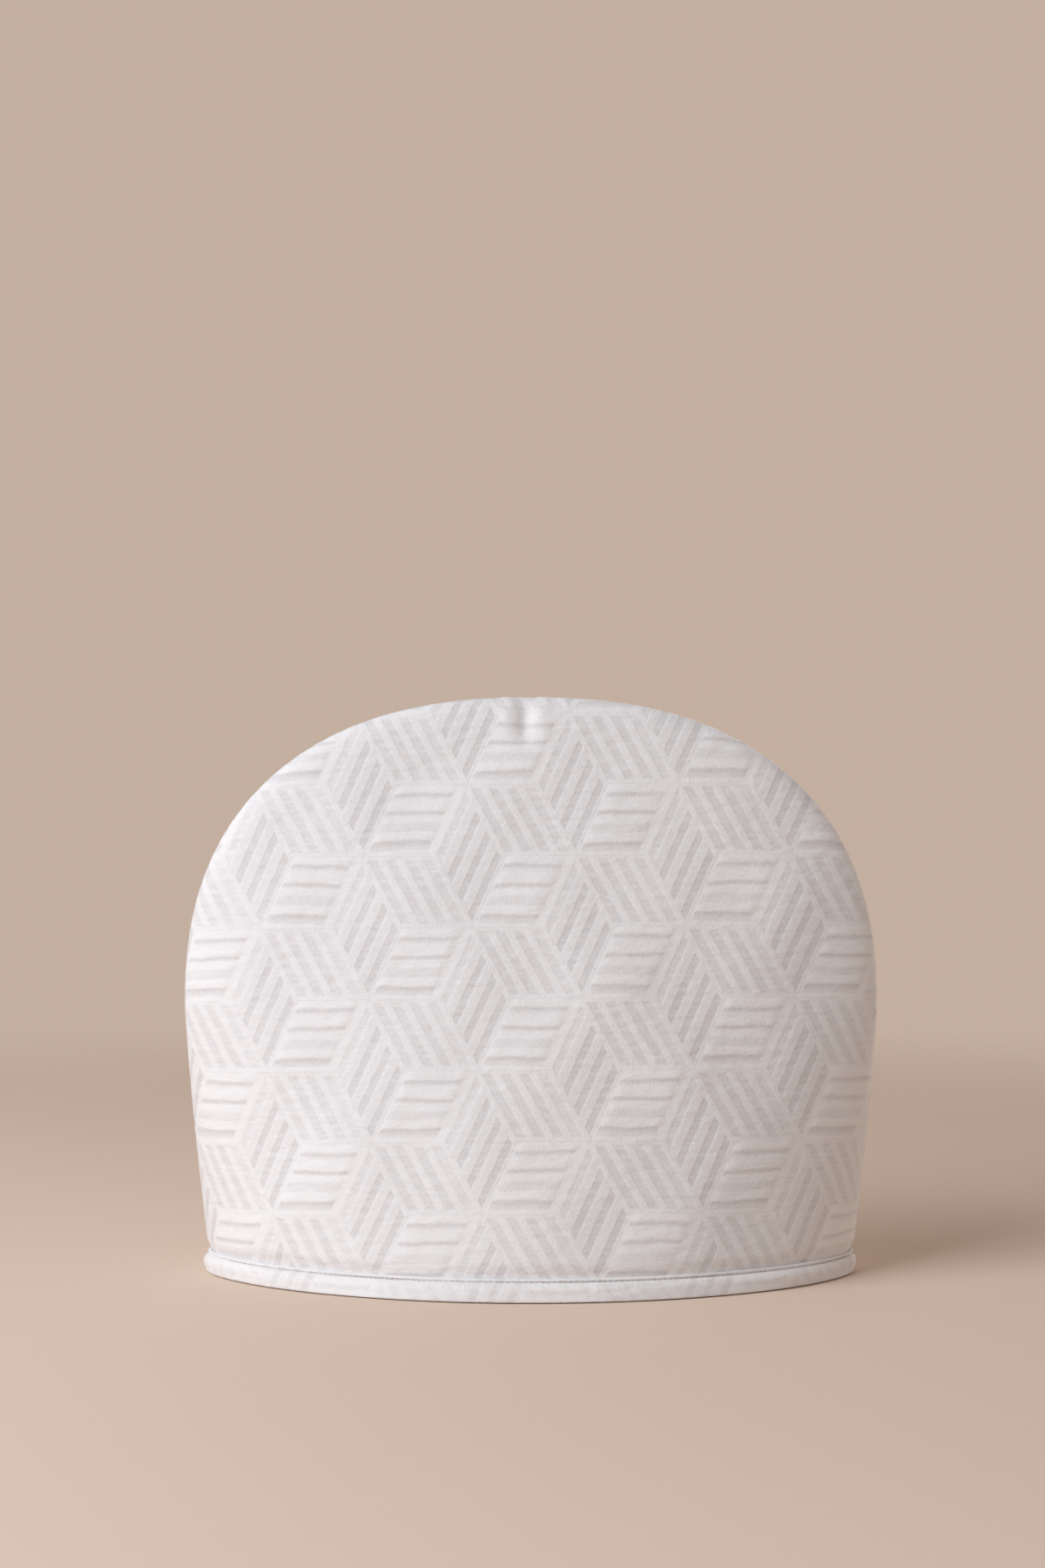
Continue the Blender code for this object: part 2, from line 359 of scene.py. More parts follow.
def panel_face(x, z, front):
    """Points of a panel's outer face before the weave's relief, as an array with x, y and z last."""
    depth = half_depth(x, z)
    sign = -1.0 if front else 1.0
    grip = TUCK_DEPTH * (1.0 - smooth(z, *TUCK_FADE))
    out_x, out_y = outward(x, sign * np.maximum(depth, 1e-6), np.minimum(z, WIDEST_HEIGHT))
    groove = GROOVE_DEPTH_AT_HEM + (GROOVE_DEPTH - GROOVE_DEPTH_AT_HEM) * smooth(z, *GROOVE_RISE)
    inset = groove * np.maximum(0.0, 1.0 - depth / GROOVE_HALF_WIDTH) ** 2
    edge_x, edge_z = edge_direction(x, z)
    sink = pucker(x, z) if front else 0.0 * x
    flat = smooth(depth, 0.0, EDGE_ROUND)
    y = sign * (depth + (unevenness(x, z) - sink) * flat) - grip * out_y
    new_x = x - grip * out_x - inset * edge_x
    new_z = z - inset * edge_z - PUCKER_NOTCH * sink * (1.0 - flat)
    y = sign * np.maximum(sign * y, 0.5 * SEAM_GAP)
    return np.stack((new_x, y, new_z), axis=-1)


print("seam groove", round(GROOVE_DEPTH / MM, 1), "mm deep")
print("pucker", round(float(pucker(PUCKER_X, HEIGHT)) / MM, 1), "mm deep")

# %% [markdown]
# ## The grid of a panel
#
# A panel needs a fine, even net of points. The lower part is easy: rows are levels and columns run up.
# The arch is round, so the upper part bends a square net into a half disc with a well-known map that
# keeps the cells nearly even. Along each direction the points are then spaced by real length on the
# cloth, so that the steep edges get as many as the flat front does.

# %% Net of points
NET_COLUMNS = 332
NET_ROWS = 264
LINING_STEP = 4
SPACING_SAMPLES = 6000
SPACING_LEVEL = -0.3


def net_to_arch(u, v):
    """Place in the seam plane for net values: u from -1 to 1 across, v from -1 at the hem to 1."""
    z_low = WIDEST_HEIGHT + v * (WIDEST_HEIGHT - PANEL_BOTTOM)
    x_low = u * side_half_width(z_low)
    rise = np.maximum(v, 0.0)
    disc_x = u * np.sqrt(1.0 - 0.5 * rise ** 2)
    disc_z = rise * np.sqrt(1.0 - 0.5 * u ** 2)
    stretch = np.hypot(disc_x, disc_z) / np.maximum(gauge(disc_x, disc_z), 1e-9)
    x = np.where(v < 0.0, x_low, HALF_WIDTH * disc_x * stretch)
    z = np.where(v < 0.0, z_low, WIDEST_HEIGHT + ARCH_RISE * disc_z * stretch)
    return x, z


def even_steps(u_line, v_line, values, count):
    """Net values that divide one line on the cloth into equal lengths."""
    x, z = net_to_arch(u_line, v_line)
    points = np.stack((x, half_depth(x, z), z), axis=-1)
    lengths = np.linalg.norm(np.diff(points, axis=0), axis=1)
    travelled = np.concatenate(([0.0], np.cumsum(lengths)))
    return np.interp(np.linspace(0.0, travelled[-1], count + 1), travelled, values), travelled[-1]


line = np.sin(np.linspace(-0.5 * np.pi, 0.5 * np.pi, SPACING_SAMPLES + 1))
net_u, girth = even_steps(line, np.full_like(line, SPACING_LEVEL), line, NET_COLUMNS)
net_v, rise_length = even_steps(np.zeros_like(line), line, line, NET_ROWS)
print("cloth across", round(girth, 3), "m, step", round(girth / NET_COLUMNS / MM, 2), "mm")
print("cloth up", round(rise_length, 3), "m, step", round(rise_length / NET_ROWS / MM, 2), "mm")

# %% [markdown]
# ## Where each point lies on the cloth
#
# The weave is flat until it is sewn over the curved form. To draw it there, each point needs its place
# on the flat cloth: how far across from the middle, measured along its own level, and how far up,
# measured along its own upright line. Cloth that is pulled over a form also bows and gives a little, and
# six small terms say so.

# %% Place on the flat cloth
CLOTH_LEVEL = 0.100
BOW_MIDDLE = 0.125
BOW_ACROSS = 0.176
BOW_UP = 0.203
GIVE_AT_LEFT = 1.15
GIVE_AT_RIGHT = 1.80
GIVE_AT_CORNERS = 1.53
FAN_OUT = 0.103
PATH_SAMPLES = 160


def path_length(x_from, z_from, x_to, z_to):
    """Length on the cloth between pairs of points."""
    total = np.zeros_like(x_to)
    before = half_depth(x_from, z_from)
    for step in range(1, PATH_SAMPLES + 1):
        share = step / PATH_SAMPLES
        here = half_depth(x_from + (x_to - x_from) * share, z_from + (z_to - z_from) * share)
        run = np.hypot(x_to - x_from, z_to - z_from) / PATH_SAMPLES
        total += np.hypot(run, here - before)
        before = here
    return total


def place_on_cloth(x, z):
    """(across, up) on the flat cloth, in metres, for a point in the seam plane."""
    middle = np.zeros_like(x)
    level = np.full_like(z, CLOTH_LEVEL)
    from_middle = z - BOW_MIDDLE
    across = np.sign(x) * path_length(middle, z, x, z)
    across = across - np.where(x < 0.0, GIVE_AT_LEFT, GIVE_AT_RIGHT) * x ** 3
    across = across + (FAN_OUT - GIVE_AT_CORNERS * from_middle) * x * from_middle
    up = np.sign(z - CLOTH_LEVEL) * path_length(x, level, x, z)
    up = up + BOW_ACROSS * x ** 2 - BOW_UP * from_middle ** 2
    return across, up


girth_ends, _ = place_on_cloth(np.array((-HALF_WIDTH, HALF_WIDTH)), np.full(2, WIDEST_HEIGHT))
print("widest level on the cloth: from", round(girth_ends[0], 4), "to", round(girth_ends[1], 4), "m")

# %% [markdown]
# ## The weave's pattern
#
# The jacquard has the old tumbling-blocks pattern: stars in slanting columns, each joined to its six
# neighbours by long diamonds, so that three diamonds read as a cube. Each diamond is filled with four
# satin bars on a plain ground. The bars lie level in the tread, lean right in the riser and lean left
# in the flank.
#
# A picture of the pattern could be stretched over the cloth, but a rule is sharper at any size. The rule
# counts in star-to-star steps. It is needed twice: for the net's points, as arrays, and for the material,
# as nodes. A small class gives shader sockets the signs + - and *, so one rule serves both.

# %% Numbers that live in nodes
class Field:
    """A number that varies over the cloth and is worked out by shader nodes."""

    def __init__(self, tree, socket):
        self.tree = tree
        self.socket = socket

    def work(self, operation, *others, clamp=False):
        """One Math node on this field and up to two more fields or plain numbers."""
        node = self.tree.nodes.new("ShaderNodeMath")
        node.operation = operation
        node.use_clamp = clamp
        for place, value in enumerate((self, *others)):
            if isinstance(value, Field):
                self.tree.links.new(value.socket, node.inputs[place])
            else:
                node.inputs[place].default_value = value
        return Field(self.tree, node.outputs[0])

    def __add__(self, other):
        return self.work("ADD", other)

    def __sub__(self, other):
        return self.work("SUBTRACT", other)

    def __mul__(self, other):
        return self.work("MULTIPLY", other)

    def __rsub__(self, other):
        return self.work("MULTIPLY_ADD", -1.0, other)

    __radd__ = __add__
    __rmul__ = __mul__


# %% Signs for arrays and fields
def floor_of(value):
    """Whole steps."""
    if isinstance(value, Field):
        return value.work("FLOOR")
    return np.floor(value)


def size_of(value):
    """The value without its sign."""
    if isinstance(value, Field):
        return value.work("ABSOLUTE")
    return np.abs(value)


def least(first, second):
    """The smaller of two."""
    if isinstance(first, Field):
        return first.work("MINIMUM", second)
    return np.minimum(first, second)


def sine_of(value):
    """Sine of an angle in radians."""
    if isinstance(value, Field):
        return value.work("SINE")
    return np.sin(value)


def more(first, second):
    """1 where the first is more than the second, else 0."""
    if isinstance(first, Field):
        return first.work("GREATER_THAN", second)
    return np.where(first > second, 1.0, 0.0)


def ramp(value, start, end):
    """0 to 1 in an even curve between start and end."""
    if not isinstance(value, Field):
        return smooth(value, start, end)
    return Field(value.tree, soft_step(value.tree, value.socket, (start, end), 0.0, 1.0))


def along_curve(value, knots):
    """Read a line of (place, amount) knots at a value from 0 to 1."""
    if not isinstance(value, Field):
        places, amounts = zip(*knots)
        return np.interp(value, places, amounts)
    node = value.tree.nodes.new("ShaderNodeFloatCurve")
    curve = node.mapping.curves[0]
    while len(curve.points) < len(knots):
        curve.points.new(0.5, 0.5)
    for point, (place, amount) in zip(curve.points, knots):
        point.location = (place, amount)
        point.handle_type = "VECTOR"
    node.mapping.update()
    value.tree.links.new(value.socket, node.inputs["Value"])
    return Field(value.tree, node.outputs["Value"])


def part_way(first, second, share):
    """From the first to the second by a share."""
    return first + (second - first) * share


# %% [markdown]
# A place is counted in steps from star to star. The lines between neighbouring stars part the cloth into
# triangles, and the nearest of a triangle's three lines says which diamond the place is in. What is left
# over of the steps then says where in the diamond it lies.

# %% The tumbling-blocks rule
# The lattice is in metres on the flat cloth, and the rest in shares of a diamond's side
STAR_PLACE = (-0.02467, 0.00114)
STEP_UP = (-0.00278, 0.06697)
STEP_ASIDE = (0.04813, 0.03382)
RISER_BARS = {"first": 0.0900, "width": 0.110, "pitch": 0.272}
FLANK_BARS = {"first": 0.1060, "width": 0.138, "pitch": 0.259}
GROUND_EDGE = 0.030
BAR_START = 0.052
BAR_END = 0.940
TREAD_END = 0.875


def tumbling_blocks(across, up):
    """Which diamond a place on the cloth is in, and where in it.

    along and over run from 0 to 1: along the bars, and over them. stripe is how far inside a satin
    stripe the place is, in diamond sides, and less than 0 outside it. reach says the same of the
    stretch along which bars run, and bar of both.
    """
    turn = STEP_UP[0] * STEP_ASIDE[1] - STEP_ASIDE[0] * STEP_UP[1]
    from_star = across - STAR_PLACE[0]
    above_star = up - STAR_PLACE[1]
    steps_up = from_star * (STEP_ASIDE[1] / turn) - above_star * (STEP_ASIDE[0] / turn)
    steps_aside = above_star * (STEP_UP[0] / turn) - from_star * (STEP_UP[1] / turn)
    part_up = steps_up - floor_of(steps_up)
    part_aside = steps_aside - floor_of(steps_aside)
    far = more(part_up + part_aside, 1.0)

    to_riser = part_way(part_aside, 1.0 - part_aside, far)
    to_tread = part_way(part_up, 1.0 - part_up, far)
    to_flank = size_of(1.0 - part_up - part_aside)
    riser = more(to_tread, to_riser) * more(to_flank, to_riser)
    tread = (1.0 - riser) * more(to_flank, to_tread)
    flank = 1.0 - riser - tread

    twice_up = part_up * 2.0 + part_aside
    twice_aside = part_aside * 2.0 + part_up
    over = riser * (part_up - part_aside + far) + tread * (twice_up - far * 2.0)
    over = over + flank * (twice_aside - 1.0)
    along = riser * (twice_aside - far * 2.0) + tread * (part_aside - part_up + far)
    along = along + flank * (2.0 - twice_up)

    first = part_way(FLANK_BARS["first"], RISER_BARS["first"], riser)
    count = (over - first) * part_way(1.0 / FLANK_BARS["pitch"], 1.0 / RISER_BARS["pitch"], riser) + 0.5
    half = 0.5 * part_way(FLANK_BARS["width"], RISER_BARS["width"], riser)
    stripe = half - size_of(count - floor_of(count) - 0.5) * FLANK_BARS["pitch"]
    reach = least(along - BAR_START, (BAR_END - along) - tread * (BAR_END - TREAD_END))
    bar = least(least(stripe, reach), least(over, 1.0 - over) - GROUND_EDGE)
    parts = {"riser": riser, "tread": tread, "flank": flank}
    return {**parts, "over": over, "along": along, "stripe": stripe, "reach": reach, "bar": bar}


star_steps = [round(math.hypot(*step) / MM, 1) for step in (STEP_UP, STEP_ASIDE)]
print("from star to star:", star_steps[0], "mm up the column and", star_steps[1], "mm to the next one")

# %% [markdown]
# ## Relief of the weave
#
# Plain ground and satin take up different lengths of yarn, so the cloth puffs where the ground is dense.
# The treads puff most. Their ground bars stand out like small cushions with a steep lower edge, and that
# edge throws the fine dark lines seen across the cloth, which the material deepens with painted shade.
# Risers and flanks only have low ridges.

# %% Relief rule
TREAD_PUFFS = (
    (0.000, 0.30),
    (0.060, 0.20),
    (0.120, 0.22),
    (0.165, 0.28),
    (0.215, 0.70),
    (0.250, 0.80),
    (0.290, 0.66),
    (0.330, 0.50),
    (0.430, 0.48),
    (0.470, 0.54),
    (0.520, 0.44),
    (0.575, 0.20),
    (0.600, 0.20),
    (0.645, 0.68),
    (0.680, 0.78),
    (0.740, 0.60),
    (0.800, 0.44),
    (0.840, 0.22),
    (0.862, 0.22),
    (0.905, 0.62),
    (0.940, 0.66),
    (1.000, 0.30),
)
TREAD_HEIGHT = 0.50 * MM
TREAD_ENDS = (-0.05, 0.09)
RIDGE_HEIGHT = 0.05 * MM
RIDGE_SOFT = 0.030
CRINKLE_HEIGHT = 0.05 * MM
CRINKLE_STRETCH = 0.35
WEAVE_EDGE_FADE = 0.006
WEAVE_HEM_FADE = (0.009, 0.013)
DRIFT_WAVES = 7
DRIFT_PITCHES = (0.7, 1.6)

# Drifts of the weave: the length over which each changes, its seed and its amount
PUFF_DRIFT = (0.028, 5, 0.35)
PULLS = ((0.050, 8, 0.016), (0.014, 9, 0.005))
CRINKLES = ((0.0065, 12, CRINKLE_HEIGHT), (0.0045, 13, CRINKLE_HEIGHT))


def drift(across, up, length, seed):
    """Smooth uneven value between about -1 and 1 that changes over a length on the cloth."""
    waves = np.random.default_rng(seed)
    total = 0.0
    for _ in range(DRIFT_WAVES):
        angle = waves.uniform(0.0, 2.0 * np.pi)
        pitch = length * waves.uniform(*DRIFT_PITCHES)
        phase = waves.uniform(0.0, 2.0 * np.pi)
        lean = across * math.cos(angle) + up * math.sin(angle)
        total = total + sine_of(lean * (2.0 * math.pi / pitch) + phase)
    return total * (1.0 / math.sqrt(DRIFT_WAVES))


def with_drifts(value, across, up, drifts):
    """The value with each of a list of drifts added."""
    for length, seed, amount in drifts:
        value = value + drift(across, up, length, seed) * amount
    return value


def pulled(block, across, up):
    """over, pulled about a little, so that no two treads are alike."""
    return with_drifts(block["over"], across, up, PULLS)


def weave_relief(across, up):
    """Height of the weave above the body's form."""
    block = tumbling_blocks(across, up)
    ends = ramp(block["reach"], *TREAD_ENDS)
    puffs = along_curve(pulled(block, across, up), TREAD_PUFFS) * ends
    strength = with_drifts(1.0, across, up, (PUFF_DRIFT,))
    ridges = 1.0 - ramp(block["bar"], -RIDGE_SOFT, RIDGE_SOFT)
    relief = block["tread"] * puffs * strength * TREAD_HEIGHT
    relief = relief + (1.0 - block["tread"]) * ridges * RIDGE_HEIGHT
    return with_drifts(relief, across * CRINKLE_STRETCH, up, CRINKLES)


sample = weave_relief(*np.meshgrid(np.linspace(0.0, 0.2, 401), np.linspace(0.0, 0.2, 401)))
print("relief on a sample:", round(sample.min() / MM, 2), "to", round(sample.max() / MM, 2), "mm")

# %% [markdown]
# ## Building a panel
#
# Each panel is one closed body: the fine outer face, a coarser lining behind it, and a rim that joins
# them along the arch and the hem. Behind each stretch of rim, one lining edge meets four outer edges
# in a single many-sided face, which stays watertight without spending points on what nobody sees.

# %% Wall and seam
WALL = 0.006
SEAM_PRESS = 0.5
SEAM_PRESS_REACH = 0.014
HEM_PRESS = 0.65
RIPPLE_HEIGHT = 0.06 * MM
RIPPLE_LENGTH = 0.011
RIPPLE_REACH = 0.007
RIPPLE_UNEVEN = 0.6
RIPPLE_UNEVEN_LENGTH = 0.055
RIPPLE_WANDER = 0.004
RIPPLE_WANDER_LENGTH = 0.060
RIPPLE_SIDES_APART = 0.05


def wadding_share(x, z):
    """Share of the full wall thickness: pressed flat at the seam and in the binding."""
    seam = SEAM_PRESS + (1.0 - SEAM_PRESS) * smooth(edge_distance(x, z), 0.0, SEAM_PRESS_REACH)
    hem = HEM_PRESS + (1.0 - HEM_PRESS) * smooth(z, *TUCK_FADE)
    return np.minimum(seam, hem)


def seam_ripples(x, z, seed):
    """Small gathers that the sewing draws up beside the seam."""
    rise = np.maximum(z - WIDEST_HEIGHT, 0.0)
    travel = np.minimum(z, WIDEST_HEIGHT) + np.arctan2(rise, np.abs(x)) * HALF_WIDTH
    side = np.sign(x)
    uneven = 1.0 + RIPPLE_UNEVEN * drift(travel, RIPPLE_SIDES_APART * side, RIPPLE_UNEVEN_LENGTH, seed)
    wandered = travel + RIPPLE_WANDER * drift(travel, side, RIPPLE_WANDER_LENGTH, seed + 1)
    wave = np.sin(2.0 * np.pi * wandered / RIPPLE_LENGTH)
    distance = edge_distance(x, z)
    return RIPPLE_HEIGHT * uneven * wave * bell(distance - 0.5 * RIPPLE_REACH, RIPPLE_REACH)


print("wall", round(WALL / MM, 1), "mm, at the seam", round(WALL * SEAM_PRESS / MM, 1), "mm")

# %% Nets, faces and rims
def face_normals(points, x, z):
    """Outward directions of a net of points. On the seam they lie in the seam plane."""
    across = np.gradient(points, axis=1)
    up = np.gradient(points, axis=0)
    normals = np.cross(across, up)
    normals /= np.maximum(np.linalg.norm(normals, axis=-1, keepdims=True), 1e-15)
    edge_x, edge_z = edge_direction(x, z)
    seam = np.stack((edge_x, np.zeros_like(x), edge_z), axis=-1)
    normals[:, 0] = seam[:, 0]
    normals[:, -1] = seam[:, -1]
    normals[-1, :] = seam[-1, :]
    return normals


def grid_faces(columns, rows, first, flip):
    """Four-sided faces of a net whose points are stored row by row."""
    corner = first + np.arange(rows)[:, None] * (columns + 1) + np.arange(columns)[None, :]
    quads = np.stack((corner, corner + 1, corner + columns + 2, corner + columns + 1), axis=-1)
    quads = quads.reshape(-1, 4)
    if flip:
        quads = quads[:, ::-1]
    return quads.tolist()


def rim_path(columns, rows, first):
    """Point numbers round a net's edge, starting at the lower left and going right."""
    width = columns + 1
    bottom = [first + column for column in range(columns)]
    right = [first + row * width + columns for row in range(rows)]
    top = [first + rows * width + column for column in range(columns, 0, -1)]
    left = [first + row * width for row in range(rows, 0, -1)]
    return bottom + right + top + left


def mesh_from_points(name, points, faces, cloth_places):
    """Smooth mesh with each point's place on the flat cloth kept as its UV map."""
    mesh = bpy.data.meshes.new(name)
    mesh.from_pydata(points.tolist(), [], faces)
    corners = np.empty(len(mesh.loops), dtype=np.int32)
    mesh.loops.foreach_get("vertex_index", corners)
    cloth_map = mesh.uv_layers.new(name="cloth")
    cloth_map.data.foreach_set("uv", cloth_places[corners].astype(np.float32).ravel())
    mesh.shade_smooth()
    mesh.validate()
    return mesh


# %% A whole panel
def panel_mesh(name, front, cloth_shift, seed):
    """A whole panel as one closed mesh. The outer face has the first material, the rest the second."""
    side = 1.0 if front else -1.0
    u, v = np.meshgrid(side * net_u, net_v)
    x, z = net_to_arch(u, v)
    body = panel_face(x, z, front)
    normals = face_normals(body, x, z)
    across, up = place_on_cloth(x, z)
    across = side * across + cloth_shift[0]
    up = up + cloth_shift[1]
    fade = smooth(edge_distance(x, z), 0.0, WEAVE_EDGE_FADE) * smooth(z, *WEAVE_HEM_FADE)
    relief = weave_relief(across, up) * fade + seam_ripples(x, z, seed) * smooth(z, *WEAVE_HEM_FADE)
    outer = body + normals * relief[..., None]
    sign = -side
    outer[..., 1] = sign * np.maximum(sign * outer[..., 1], 0.5 * SEAM_GAP)

    thickness = WALL * wadding_share(x, z)
    inner = (body - normals * thickness[..., None])[::LINING_STEP, ::LINING_STEP]
    inner[..., 1] = sign * np.maximum(sign * inner[..., 1], 0.5 * SEAM_GAP)
    columns = NET_COLUMNS // LINING_STEP
    rows = NET_ROWS // LINING_STEP
    first_inner = outer[..., 0].size
    faces = grid_faces(NET_COLUMNS, NET_ROWS, 0, False)
    faces += grid_faces(columns, rows, first_inner, True)

    outer_rim = rim_path(NET_COLUMNS, NET_ROWS, 0)
    inner_rim = rim_path(columns, rows, first_inner)
    for step in range(len(inner_rim)):
        start = step * LINING_STEP
        stretch = [outer_rim[(start + k) % len(outer_rim)] for k in range(LINING_STEP + 1)]
        back = [inner_rim[(step + 1) % len(inner_rim)], inner_rim[step]]
        faces.append(tuple(reversed(stretch)) + tuple(reversed(back)))

    points = np.concatenate((outer.reshape(-1, 3), inner.reshape(-1, 3)))
    places = np.stack((across, up), axis=-1)
    places = np.concatenate((places.reshape(-1, 2), places[::LINING_STEP, ::LINING_STEP].reshape(-1, 2)))
    mesh = mesh_from_points(name, points, faces, places)
    layer = np.zeros(len(mesh.polygons), dtype=np.int32)
    layer[NET_COLUMNS * NET_ROWS:] = 1
    mesh.polygons.foreach_set("material_index", layer)
    return mesh


# %% [markdown]
# ## Materials
#
# Every material reads the place on the flat cloth, in metres, from the UV map. So a grain of half a
# millimetre is that size anywhere and follows the thread. A picture of cloth would blur close by and
# repeat further off. These helpers turn the place into grains, colours and bump.

# %% Helpers for materials
GRAIN_ROUGHNESS = 0.55
COTTON_SPECULAR = 0.25
SHEEN_ROUGHNESS = 0.4


def new_material(name):
    """Empty node material with its shader, and the place on the flat cloth as two fields."""
    material = bpy.data.materials.new(name)
    material.use_nodes = True
    tree = material.node_tree
    cloth = tree.nodes.new("ShaderNodeUVMap")
    cloth.uv_map = "cloth"
    split = tree.nodes.new("ShaderNodeSeparateXYZ")
    tree.links.new(cloth.outputs["UV"], split.inputs["Vector"])
    across = Field(tree, split.outputs["X"])
    up = Field(tree, split.outputs["Y"])
    return material, tree.nodes["Principled BSDF"], across, up


def grain(across, up, size_across, size_up, detail=2.0):
    """Noise between about -0.5 and 0.5 with grains of a given size, in metres."""
    tree = across.tree
    place = tree.nodes.new("ShaderNodeCombineXYZ")
    tree.links.new((across * (1.0 / size_across)).socket, place.inputs["X"])
    tree.links.new((up * (1.0 / size_up)).socket, place.inputs["Y"])
    noise = tree.nodes.new("ShaderNodeTexNoise")
    noise.noise_dimensions = "2D"
    noise.inputs["Scale"].default_value = 1.0
    noise.inputs["Detail"].default_value = detail
    noise.inputs["Roughness"].default_value = GRAIN_ROUGHNESS
    tree.links.new(place.outputs["Vector"], noise.inputs["Vector"])
    return Field(tree, noise.outputs["Fac"]) - 0.5


def mixed(share, first, second):
    """A colour between two by a field from 0 to 1. The second may be the output of another mix."""
    tree = share.tree
    mix = tree.nodes.new("ShaderNodeMix")
    mix.data_type = "RGBA"
    tree.links.new(share.work("ADD", 0.0, clamp=True).socket, mix.inputs["Factor"])
    mix.inputs["A"].default_value = (*first, 1.0)
    if isinstance(second, tuple):
        mix.inputs["B"].default_value = (*second, 1.0)
    else:
        tree.links.new(second, mix.inputs["B"])
    return mix.outputs["Result"]


def paint(shader, tone, light, dark):
    """Base colour from light to dark by a tone field from 0 to 1."""
    tone.tree.links.new(mixed(tone, light, dark), shader.inputs["Base Color"])


def emboss(shader, height):
    """Bump from a height field in metres."""
    tree = height.tree
    bump = tree.nodes.new("ShaderNodeBump")
    bump.inputs["Strength"].default_value = 1.0
    bump.inputs["Distance"].default_value = 1.0
    tree.links.new(height.socket, bump.inputs["Height"])
    tree.links.new(bump.outputs["Normal"], shader.inputs["Normal"])


def soft_finish(shader, sheen):
    """Values that are the same all over a cotton cloth."""
    shader.inputs["Metallic"].default_value = 0.0
    shader.inputs["Specular IOR Level"].default_value = COTTON_SPECULAR
    shader.inputs["Sheen Weight"].default_value = sheen
    shader.inputs["Sheen Roughness"].default_value = SHEEN_ROUGHNESS


# %% [markdown]
# Cotton jacquard is one white in two finishes. The plain ground is matt and bright. Satin floats long
# threads over the surface, so it is smoother and looks a shade greyer from most sides. On top come the
# fine grain of the threads, a faint crinkle, soft level bands where the weft lies a little slacker, and
# the folds between the treads' puffs, which are too narrow for the net of points. Colour, roughness and
# bump all read the same rule, so edges meet exactly.

# %% Jacquard's tones and grains
# Light, dark, and the warmer dark of the blush
CLOTH_COLOURS = ((0.858, 0.848, 0.852), (0.596, 0.580, 0.586), (0.614, 0.576, 0.568))

# What a tread shows over its height: tones of its satin bars, with painted shade that is darkest
# where a bar lies under the steep lower edge of the puff above it, then heights of its creases round 0.5
TREAD_TONES_AND_SHADE = (
    (0.000, 0.00),
    (0.058, 0.00),
    (0.068, 0.26),
    (0.115, 0.40),
    (0.145, 0.56),
    (0.180, 0.62),
    (0.206, 0.04),
    (0.310, 0.00),
    (0.322, 0.27),
    (0.440, 0.29),
    (0.452, 0.00),
    (0.540, 0.08),
    (0.562, 0.26),
    (0.580, 0.54),
    (0.608, 0.56),
    (0.634, 0.04),
    (0.700, 0.00),
    (0.780, 0.10),
    (0.812, 0.26),
    (0.838, 0.52),
    (0.866, 0.54),
    (0.894, 0.04),
    (0.950, 0.00),
    (1.000, 0.00),
)
TREAD_CREASES = (
    (0.000, 0.50),
    (0.060, 0.50),
    (0.150, 0.28),
    (0.215, 0.80),
    (0.250, 0.54),
    (0.295, 0.50),
    (0.306, 0.62),
    (0.322, 0.40),
    (0.350, 0.50),
    (0.430, 0.50),
    (0.444, 0.38),
    (0.460, 0.64),
    (0.500, 0.50),
    (0.572, 0.28),
    (0.640, 0.80),
    (0.685, 0.55),
    (0.760, 0.50),
    (0.832, 0.28),
    (0.898, 0.80),
    (0.945, 0.55),
    (1.000, 0.50),
)
RISER_TONE = 0.48
FLANK_TONE = 0.31
LAST_BAR = (0.76, 0.80)
LAST_RISER_LOSS = 0.60
LAST_FLANK_LOSS = 0.40
# Painted highlight: the riser's ground is a tone darker away from the satin bars, so it is lighter along
# their edges
RISER_EDGE_HIGHLIGHT_TONE = 0.11
EDGE_HIGHLIGHT_RAMP = (0.012, 0.045)
BAR_EDGE = 0.005
BAR_FRAY = 0.010
RIDGE_EDGE = 0.012
RIDGE_BUMP = 0.08 * MM
CREASE_BUMP = 0.17 * MM
GRAIN_BUMP = 0.05 * MM
CREPE_BUMP = 0.08 * MM
TICK_BUMP = 0.05 * MM
CRINKLE_BUMP = 0.30 * MM
MATT_ROUGHNESS = 0.85
SATIN_ROUGHNESS = 0.55
COTTON_SHEEN = 0.80

# Sizes of the grains, across and up, in metres
FRAY_SIZE = (0.0010, 0.0006)
BAND_SIZE = (0.012, 0.0022)
MOTTLE_SIZE = (0.0065, 0.0020)
THREAD_SIZE = (0.0010, 0.00045)
CREPE_SIZE = (0.0013, 0.0009)
TICK_SIZE = (0.0008, 0.0036)
CRINKLE_SIZE = (0.0052, 0.0024)
BLUSH_SIZE = (0.011, 0.006)

# Tones of the grains. A pair gives the tone on the plain ground, and how much the satin adds.
BAND_TONES = (0.16, 0.22)
MOTTLE_TONES = (0.18, 0.24)
CREPE_TONES = (0.34, -0.24)
THREAD_TONE = 0.14
TICK_TONE = 0.26
# Painted light: treads are a tone lighter than risers and flanks, for their raised puffs lit from above
TREAD_PAINTED_LIGHT = 0.11
BASE_TONE = 0.07
BLUSH_RAMP = (-0.02, 0.18)

print("knots over a tread:", len(TREAD_TONES_AND_SHADE), "tones and", len(TREAD_CREASES), "creases")


